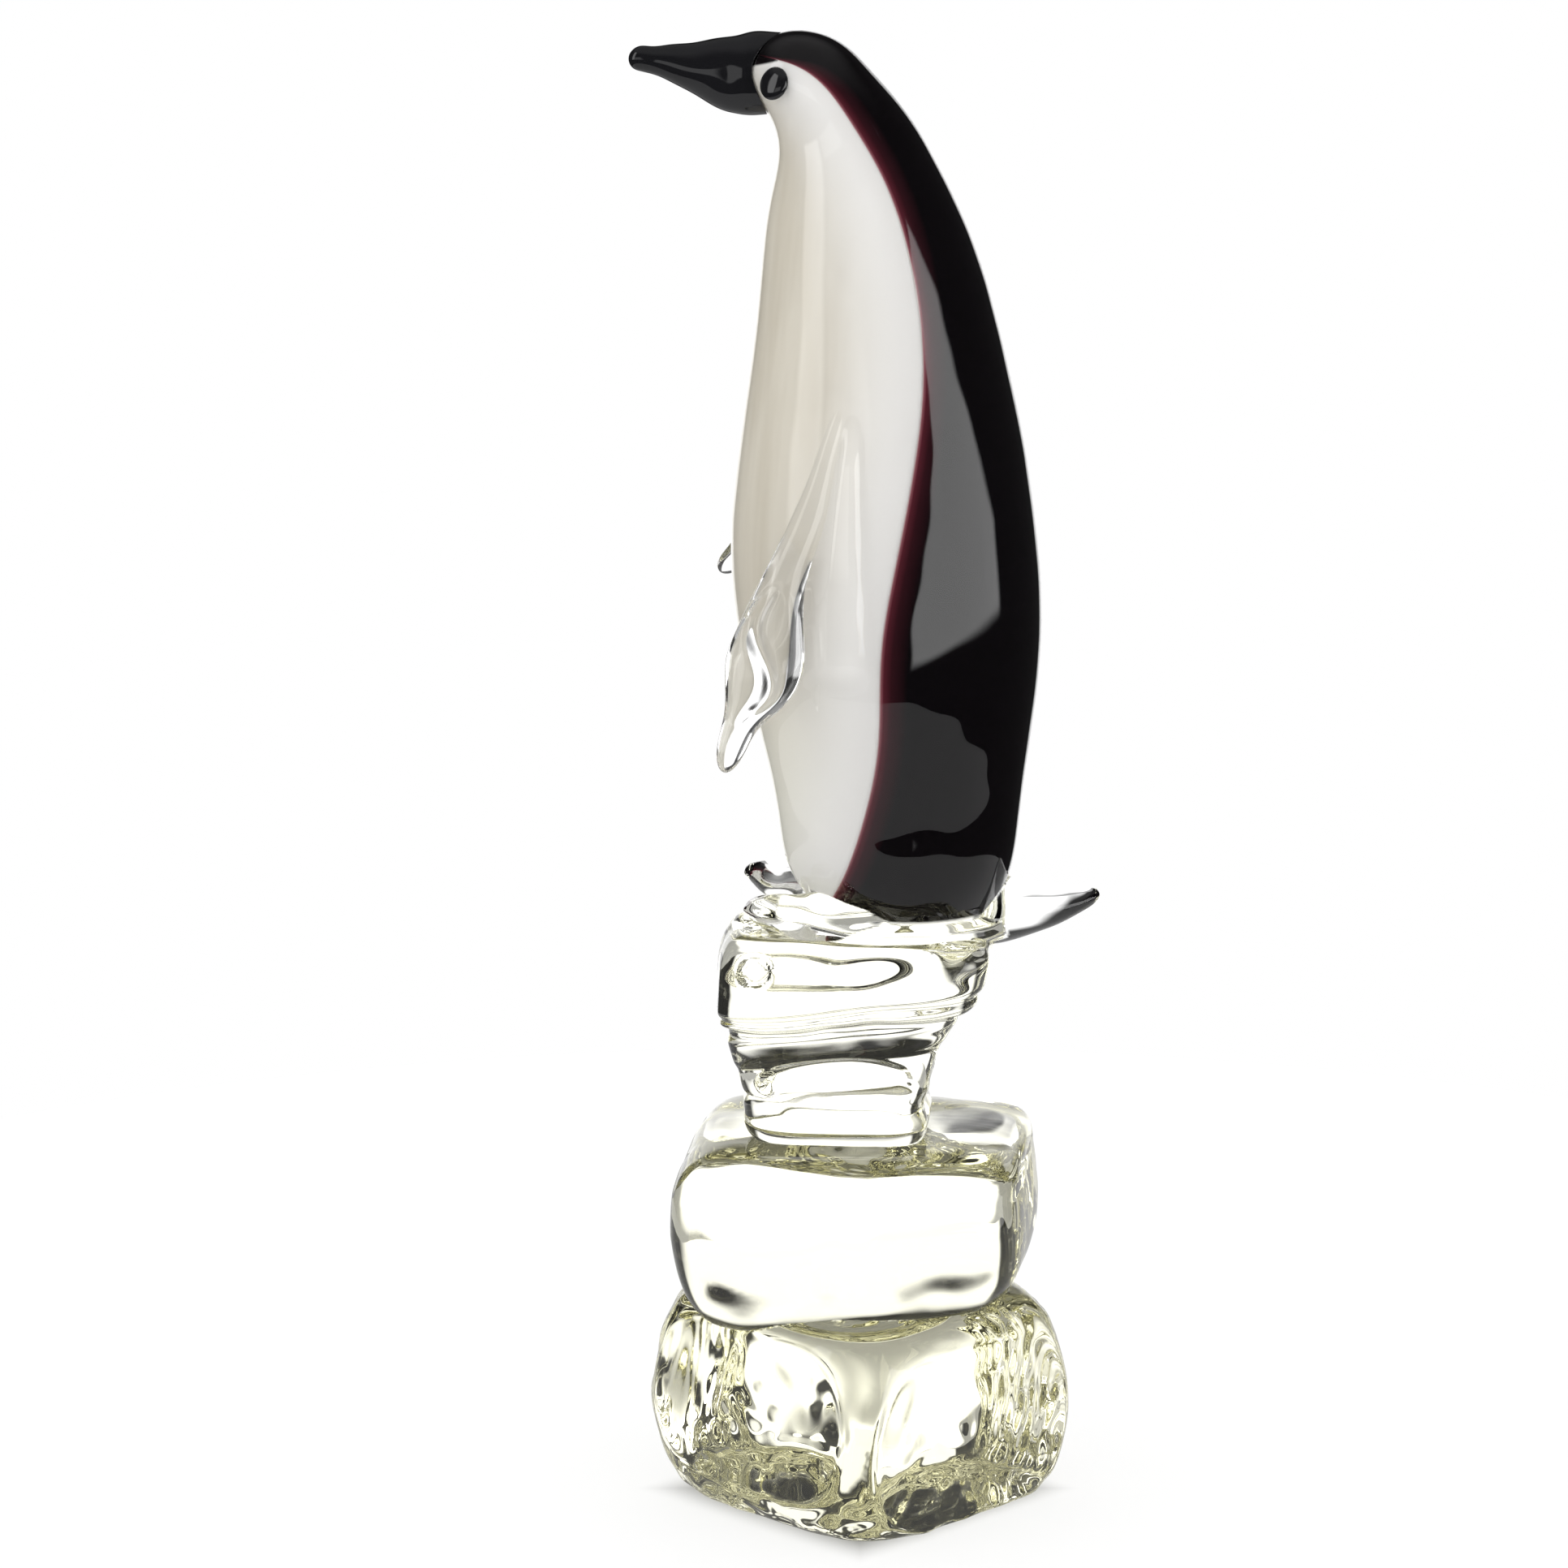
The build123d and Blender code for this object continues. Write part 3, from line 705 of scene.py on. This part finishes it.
# Group: slow cords and seeds in the glass, as a height for bump
def makeCords():
    group = bpy.data.node_groups.new("glassCords", "ShaderNodeTree")
    group.interface.new_socket("Vector", in_out="INPUT", socket_type="NodeSocketVector")
    group.interface.new_socket("Scale", in_out="INPUT", socket_type="NodeSocketFloat")
    group.interface.new_socket("Height", in_out="OUTPUT", socket_type="NodeSocketFloat")
    nodes, links = group.nodes, group.links
    entry, leave = nodes.new("NodeGroupInput"), nodes.new("NodeGroupOutput")
    noise = nodes.new("ShaderNodeTexNoise")
    noise.inputs["Detail"].default_value = cordLook["detail"]
    noise.inputs["Distortion"].default_value = cordLook["distortion"]
    links.new(entry.outputs["Vector"], noise.inputs["Vector"])
    links.new(entry.outputs["Scale"], noise.inputs["Scale"])
    links.new(noise.outputs["Fac"], leave.inputs["Height"])
    return group


cords = makeCords()


# Helpers for a node tree: a math node, a product, one less a value, a soft step, a window with soft sides
def nodeMath(tree):
    def join(operation, *values):
        node = tree.nodes.new("ShaderNodeMath")
        node.operation = operation
        for socket, value in zip(node.inputs, values):
            if isinstance(value, (int, float)):
                socket.default_value = value
            else:
                tree.links.new(value, socket)
        return node.outputs[0]

    def product(value, *others):
        for other in others:
            value = join("MULTIPLY", value, other)
        return value

    def rest(value):
        return join("SUBTRACT", 1.0, value)

    def step(value, low, high):
        node = tree.nodes.new("ShaderNodeMapRange")
        node.interpolation_type = "SMOOTHSTEP"
        node.inputs["From Min"].default_value = low
        node.inputs["From Max"].default_value = high
        tree.links.new(value, node.inputs["Value"])
        return node.outputs["Result"]

    def window(value, low, high, soft):
        return product(step(value, low - soft, low + soft), rest(step(value, high - soft, high + soft)))

    return join, product, rest, step, window


def startMaterial(name):
    material = bpy.data.materials.new(name)
    material.use_nodes = True
    nodes = material.node_tree.nodes
    return material, nodes, material.node_tree.links, nodes["Principled BSDF"]


def readAttribute(nodes, label):
    attribute = nodes.new("ShaderNodeAttribute")
    attribute.attribute_name = label
    return attribute.outputs["Fac"]


# Cords bump the surface a little; their scale is per metre
def addCords(nodes, links, shader, finish):
    place = nodes.new("ShaderNodeTexCoord")
    mapping = nodes.new("ShaderNodeMapping")
    mapping.inputs["Scale"].default_value = finish["cordStretch"]
    group = nodes.new("ShaderNodeGroup")
    group.node_tree = cords
    group.inputs["Scale"].default_value = finish["cordScale"]
    bump = nodes.new("ShaderNodeBump")
    bump.inputs["Strength"].default_value = finish["cord"]
    bump.inputs["Distance"].default_value = cordLook["height"]
    links.new(place.outputs["Object"], mapping.inputs["Vector"])
    links.new(mapping.outputs["Vector"], group.inputs["Vector"])
    links.new(group.outputs["Height"], bump.inputs["Height"])
    links.new(bump.outputs["Normal"], shader.inputs["Normal"])


iceFinish = {
    "tint": (0.95, 0.93, 0.68, 1), "density": 9.0, "cordScale": 60, "cordStretch": (1, 1, 1), "cord": 0.04,
}
clearFinish = {
    "tint": (0.92, 0.93, 0.86, 1), "density": 5.0, "cordScale": 55, "cordStretch": (1, 1, 0.35), "cord": 0.02,
}


# Clear glass: refraction, tint by depth, and no surface where the piece is melted into another
def makeGlass(name, finish):
    material, nodes, links, shader = startMaterial(name)
    shader.inputs["Base Color"].default_value = (1, 1, 1, 1)
    shader.inputs["Roughness"].default_value = 0.0
    shader.inputs["IOR"].default_value = glassBend
    shader.inputs["Transmission Weight"].default_value = 1.0
    addCords(nodes, links, shader, finish)
    links.new(readAttribute(nodes, "open"), shader.inputs["Alpha"])
    tint = nodes.new("ShaderNodeVolumeAbsorption")
    tint.inputs["Color"].default_value = finish["tint"]
    tint.inputs["Density"].default_value = finish["density"]
    links.new(tint.outputs["Volume"], nodes["Material Output"].inputs["Volume"])
    return material


# Heights in metres for the foot, millimetres from the dark edge and from the brow's line
whiteFinish = {
    "roughness": 0.45, "streak": (90, 90, 5), "streakDetail": 3,
    "stops": ((0.32, (0.67, 0.62, 0.52, 1)), (0.66, (0.84, 0.80, 0.71, 1))),
    # The foot colour is painted light: the lower belly is made paler and creamier where light from the floor
    # would fall on it
    "foot": (0.95, 0.935, 0.85, 1), "footReach": (0.225, 0.165),
    # The edge colour is painted light: the white turns paler over about 30 mm before the dark edge, in place
    # of the side soft box's light there
    "edge": (0.98, 0.97, 0.95, 1), "edgeReach": (-30, -3),
    "brow": (0.006, 0.004, 0.005, 1), "browReach": (-0.25, 0.35),
}


# White glass: warm vertical streaks, then a creamy foot that is painted light from the floor, a paler rim by
# the dark edge that is painted light from the side soft box, and the dark brow
def makeWhite():
    material, nodes, links, shader = startMaterial("whiteGlass")
    shader.inputs["Roughness"].default_value = whiteFinish["roughness"]
    shader.inputs["Specular IOR Level"].default_value = 0.0
    _, _, _, step, _ = nodeMath(material.node_tree)
    place, split = nodes.new("ShaderNodeTexCoord"), nodes.new("ShaderNodeSeparateXYZ")
    mapping, streak = nodes.new("ShaderNodeMapping"), nodes.new("ShaderNodeTexNoise")
    mapping.inputs["Scale"].default_value = whiteFinish["streak"]
    streak.inputs["Scale"].default_value = 1.0
    streak.inputs["Detail"].default_value = whiteFinish["streakDetail"]
    ramp = nodes.new("ShaderNodeValToRGB")
    for stop, (position, colour) in zip(ramp.color_ramp.elements, whiteFinish["stops"]):
        stop.position = position
        stop.color = colour
    links.new(place.outputs["Object"], split.inputs[0])
    links.new(place.outputs["Object"], mapping.inputs["Vector"])
    links.new(mapping.outputs["Vector"], streak.inputs["Vector"])
    links.new(streak.outputs["Fac"], ramp.inputs["Fac"])
    covers = (
        ("foot", split.outputs["Z"]),
        ("edge", readAttribute(nodes, "edgeGap")),
        ("brow", readAttribute(nodes, "brow")),
    )
    colour = ramp.outputs["Color"]
    for cover, value in covers:
        blend = nodes.new("ShaderNodeMix")
        blend.data_type = "RGBA"
        blend.inputs["B"].default_value = whiteFinish[cover]
        links.new(step(value, *whiteFinish[cover + "Reach"]), blend.inputs["Factor"])
        links.new(colour, blend.inputs["A"])
        colour = blend.outputs["Result"]
    links.new(colour, shader.inputs["Base Color"])
    return material


darkFinish = {
    "roughness": 0.4, "reach": 6.5,
    "stops": ((0, (0.80, 0.72, 0.70, 1)), (0.06, (0.30, 0.10, 0.12, 1)), (0.16, (0.10, 0.018, 0.028, 1)),
              (0.42, (0.035, 0.008, 0.012, 1)), (1, (0.004, 0.003, 0.004, 1))),
}


# Dark glass: thin amethyst at its edge, near black where it is thick
def makeDark():
    material, nodes, links, shader = startMaterial("darkGlass")
    shader.inputs["Roughness"].default_value = darkFinish["roughness"]
    shader.inputs["Specular IOR Level"].default_value = 0.0
    share = nodes.new("ShaderNodeMapRange")
    share.inputs["From Max"].default_value = darkFinish["reach"]
    ramp = nodes.new("ShaderNodeValToRGB")
    stops = ramp.color_ramp.elements
    for position, _ in darkFinish["stops"][1:-1]:
        stops.new(position)
    for stop, (position, colour) in zip(stops, darkFinish["stops"]):
        stop.position = position
        stop.color = colour
    links.new(readAttribute(nodes, "edgeGap"), share.inputs["Value"])
    links.new(share.outputs["Result"], ramp.inputs["Fac"])
    links.new(ramp.outputs["Color"], shader.inputs["Base Color"])
    return material


blackFinish = {
    "colour": (0.006, 0.006, 0.007, 1), "roughness": 0.03,
    "cordScale": 70, "cordStretch": (0.4, 1, 1), "cord": 0.05,
}


# Black glass: fire-polished, with slow cords
def makeBlack():
    material, nodes, links, shader = startMaterial("blackGlass")
    shader.inputs["Base Color"].default_value = blackFinish["colour"]
    shader.inputs["Roughness"].default_value = blackFinish["roughness"]
    shader.inputs["IOR"].default_value = glassBend
    addCords(nodes, links, shader, blackFinish)
    return material


materials = {
    "ice_glass": makeGlass("iceGlass", iceFinish),
    "clear_glass": makeGlass("clearGlass", clearFinish),
    "white_glass": makeWhite(),
    "dark_glass": makeDark(),
    "black_glass": makeBlack(),
}
shapes["body_core"] = coreShape()
shapes["back_overlay"] = overlayShape()
shapes["beak"] = beakShape()
shapes["left_eye"] = eyeShape(-1)
shapes["right_eye"] = eyeShape(1)
slots = {part["node"]: part["material_slot"] for part in frame["record"]["subparts"]}
for name, shape in shapes.items():
    piece = putMesh(name + "_glass", shape)
    piece.data.materials.append(materials[slots[name]])
    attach(piece, "root")
    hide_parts(name)
print("pieces:", len(shapes))


# Studio: white paper floor, white behind, soft boxes at the sides, darker room between them

# Distances on the paper are in metres; a shade has a near side, a far side and the light that is left
paperLook = {
    "radius": 0.42, "corners": 96, "drop": 0.3, "paint": 0.24, "glow": 0.68, "glassGlow": 0.5,
    "mirrorDim": 0.6,
    "shade": (0.03, 0.055, 0.12), "glassShade": (0.055, 0.115, 0.1), "strip": (0.052, 0.09, 0.1),
    "darkPatch": (0.0175, 0.043, 0.034, 0.09), "darkPatchSoft": (0.003, 0.004), "darkPatchDepth": 0.96,
    "leftFade": (-0.055, -0.09), "leftDim": 0.5,
}


# Paper: matt paint with a glow that is dimmer in mirrors and shaped for what glass sees of it
def makeFloor():
    ring = np.zeros((paperLook["corners"], 3))
    angles = ringAngles(len(ring))
    ring[:, 0] = np.cos(angles) * paperLook["radius"]
    ring[:, 1] = np.sin(angles) * paperLook["radius"]
    ring[:, 2] = -paperLook["drop"] * metre  # a hair of air under the glass
    mesh = bpy.data.meshes.new("floor")
    mesh.from_pydata(ring.tolist(), [], [list(range(len(ring)))])
    floor = bpy.data.objects.new("floor", mesh)
    bpy.context.scene.collection.objects.link(floor)
    material = bpy.data.materials.new("whitePaper")
    material.use_nodes = True
    nodes, links = material.node_tree.nodes, material.node_tree.links
    nodes.clear()
    join, product, rest, step, _ = nodeMath(material.node_tree)
    paint, glow = nodes.new("ShaderNodeBsdfDiffuse"), nodes.new("ShaderNodeEmission")
    both, leave = nodes.new("ShaderNodeAddShader"), nodes.new("ShaderNodeOutputMaterial")
    path, place, split = (nodes.new("ShaderNode" + kind) for kind in ("LightPath", "TexCoord", "SeparateXYZ"))
    links.new(place.outputs["Object"], split.inputs[0])
    x, y = split.outputs["X"], split.outputs["Y"]
    asideX, asideY = join("ABSOLUTE", x), join("ABSOLUTE", y)
    away = join("ADD", asideX, asideY)

    def shaded(near, far, left):
        return join("ADD", left, product(step(away, near, far), 1 - left))

    shade = shaded(*paperLook["shade"])  # the paper lies in shade under the lowest block
    deeper = shaded(*paperLook["glassShade"])  # and glass sees more of that shade around the block
    inner, outer, dull = paperLook["strip"]  # glass sees bright strips of paper along both axes
    strip = rest(product(step(join("MINIMUM", asideX, asideY), inner, outer), 1 - dull))
    left, right, front, back = paperLook["darkPatch"]  # a dark patch painted on the paper behind the lowest block, which only glass sees
    sharp, soft = paperLook["darkPatchSoft"]
    darkPatch = product(step(x, left - sharp, left + sharp), step(x, right + soft, right - soft),
                   step(y, front - sharp, front + sharp), step(y, back + soft, back - soft))
    unpatched = rest(product(darkPatch, paperLook["darkPatchDepth"]))
    leftLight = rest(product(step(x, *paperLook["leftFade"]), paperLook["leftDim"]))  # dimmer to the left
    through = path.outputs["Is Transmission Ray"]
    # The dark patch is painted: the paper's paint and glow are darkened there for transmission rays alone
    painted = rest(product(darkPatch, through, paperLook["darkPatchDepth"]))
    links.new(product(painted, paperLook["paint"]), paint.inputs["Color"])
    mirrored = join("MAXIMUM", join("SUBTRACT", path.outputs["Is Glossy Ray"], through), 0.0)
    plain = product(rest(product(mirrored, paperLook["mirrorDim"])), paperLook["glow"])
    glassy = product(strip, unpatched, leftLight, deeper, paperLook["glow"] + paperLook["glassGlow"])
    level = join("ADD", plain, product(through, join("SUBTRACT", glassy, plain)))
    links.new(product(level, shade), glow.inputs["Strength"])
    links.new(paint.outputs[0], both.inputs[0])
    links.new(glow.outputs[0], both.inputs[1])
    links.new(both.outputs[0], leave.inputs["Surface"])
    mesh.materials.append(material)


# Bearings are degrees to the right of the camera's side, heights are sines; a window is low, high and soft
worldLook = {
    "room": 0.03, "fill": 1.52, "ceiling": 0.3, "ceilingFade": (0.55, 0.9),
    "backdrop": 1.3, "backStep": (154, 160), "backTall": (-0.4, 0.28, 0.05),
    "sideTurn": 45.0, "sideStep": (26, 20), "leftSide": (-116, -64, 4), "leftDim": 0.5,
    "rightBox": 3.0, "rightLean": 50.0, "rightNear": (28, 31), "rightSlant": 75.0, "rightFar": (86, 91),
    "rightDrop": 0.0024, "rightFoot": (-0.39, -0.35), "rightTop": (0.69, 0.75),
    "leftBox": 2.4, "leftWide": (-76, -50, 3), "leftTall": (-0.1, 0.75, 0.04),
    "card": 0.9, "cardWide": (-46, -12, 3), "cardTall": (-0.12, 0.2, 0.03),
}


# World: white to the camera, even fill for matt surfaces, the studio for gloss and glass
def makeWorld():
    world = bpy.data.worlds.new("studio")
    bpy.context.scene.world = world
    world.use_nodes = True
    nodes, links = world.node_tree.nodes, world.node_tree.links
    nodes.clear()
    join, product, rest, step, window = nodeMath(world.node_tree)
    place, split, path = (nodes.new("ShaderNode" + kind) for kind in ("TexCoord", "SeparateXYZ", "LightPath"))
    links.new(place.outputs["Generated"], split.inputs[0])
    bearing = join("ARCTAN2", split.outputs["X"], product(split.outputs["Y"], -1.0))
    bearing = product(bearing, 180 / math.pi)
    height = split.outputs["Z"]

    leftLight = rest(product(window(bearing, *worldLook["leftSide"]), worldLook["leftDim"]))
    sides = step(join("PINGPONG", bearing, worldLook["sideTurn"]), *worldLook["sideStep"])
    sides = product(sides, path.outputs["Is Transmission Ray"], leftLight)  # paper all round, for glass alone
    behind = join("MAXIMUM", step(join("ABSOLUTE", bearing), *worldLook["backStep"]), sides)
    behind = product(behind, window(height, *worldLook["backTall"]))
    leaning = join("SUBTRACT", bearing, product(height, worldLook["rightLean"]))
    slanted = join("ADD", bearing, product(join("MAXIMUM", height, 0.0), worldLook["rightSlant"]))
    dropped = join("SUBTRACT", height, product(bearing, worldLook["rightDrop"]))
    rightBox = product(step(leaning, *worldLook["rightNear"]), rest(step(slanted, *worldLook["rightFar"])),
                       step(dropped, *worldLook["rightFoot"]), rest(step(height, *worldLook["rightTop"])))
    leftBox = product(window(bearing, *worldLook["leftWide"]), window(height, *worldLook["leftTall"]))
    card = product(window(bearing, *worldLook["cardWide"]), window(height, *worldLook["cardTall"]))

    room = worldLook["room"]
    total = join("ADD", room, product(step(height, *worldLook["ceilingFade"]), worldLook["ceiling"] - room))
    total = join("ADD", total, product(behind, worldLook["backdrop"] - room))
    for light, label in ((rightBox, "rightBox"), (leftBox, "leftBox"), (card, "card")):
        total = join("ADD", total, product(light, worldLook[label]))
    seen = path.outputs["Is Camera Ray"]
    matt = join("MINIMUM", path.outputs["Diffuse Depth"], 1.0)
    plain = join("ADD", seen, product(matt, worldLook["fill"]))
    shaped = rest(join("ADD", seen, matt))
    background, leave = nodes.new("ShaderNodeBackground"), nodes.new("ShaderNodeOutputWorld")
    background.inputs["Color"].default_value = (1, 1, 1, 1)
    links.new(join("ADD", plain, product(total, shaped)), background.inputs["Strength"])
    links.new(background.outputs[0], leave.inputs["Surface"])


cameraLook = {"place": (-0.01775, -1.3, 0.45), "tilt": 78, "lens": 129.7, "sensor": 36}
bounces = {
    "max_bounces": 28, "transmission_bounces": 26, "glossy_bounces": 10, "diffuse_bounces": 4,
    "transparent_max_bounces": 24,
}
makeFloor()
makeWorld()
camera = bpy.data.objects.new("camera", bpy.data.cameras.new("camera"))
camera.location = cameraLook["place"]
camera.rotation_euler = (math.radians(cameraLook["tilt"]), 0, 0)
camera.data.lens = cameraLook["lens"]
camera.data.sensor_width = cameraLook["sensor"]
bpy.context.scene.collection.objects.link(camera)
bpy.context.scene.camera = camera
scene = bpy.context.scene
scene.view_settings.view_transform = "Standard"
for label, count in bounces.items():
    setattr(scene.cycles, label, count)
print("studio ready")
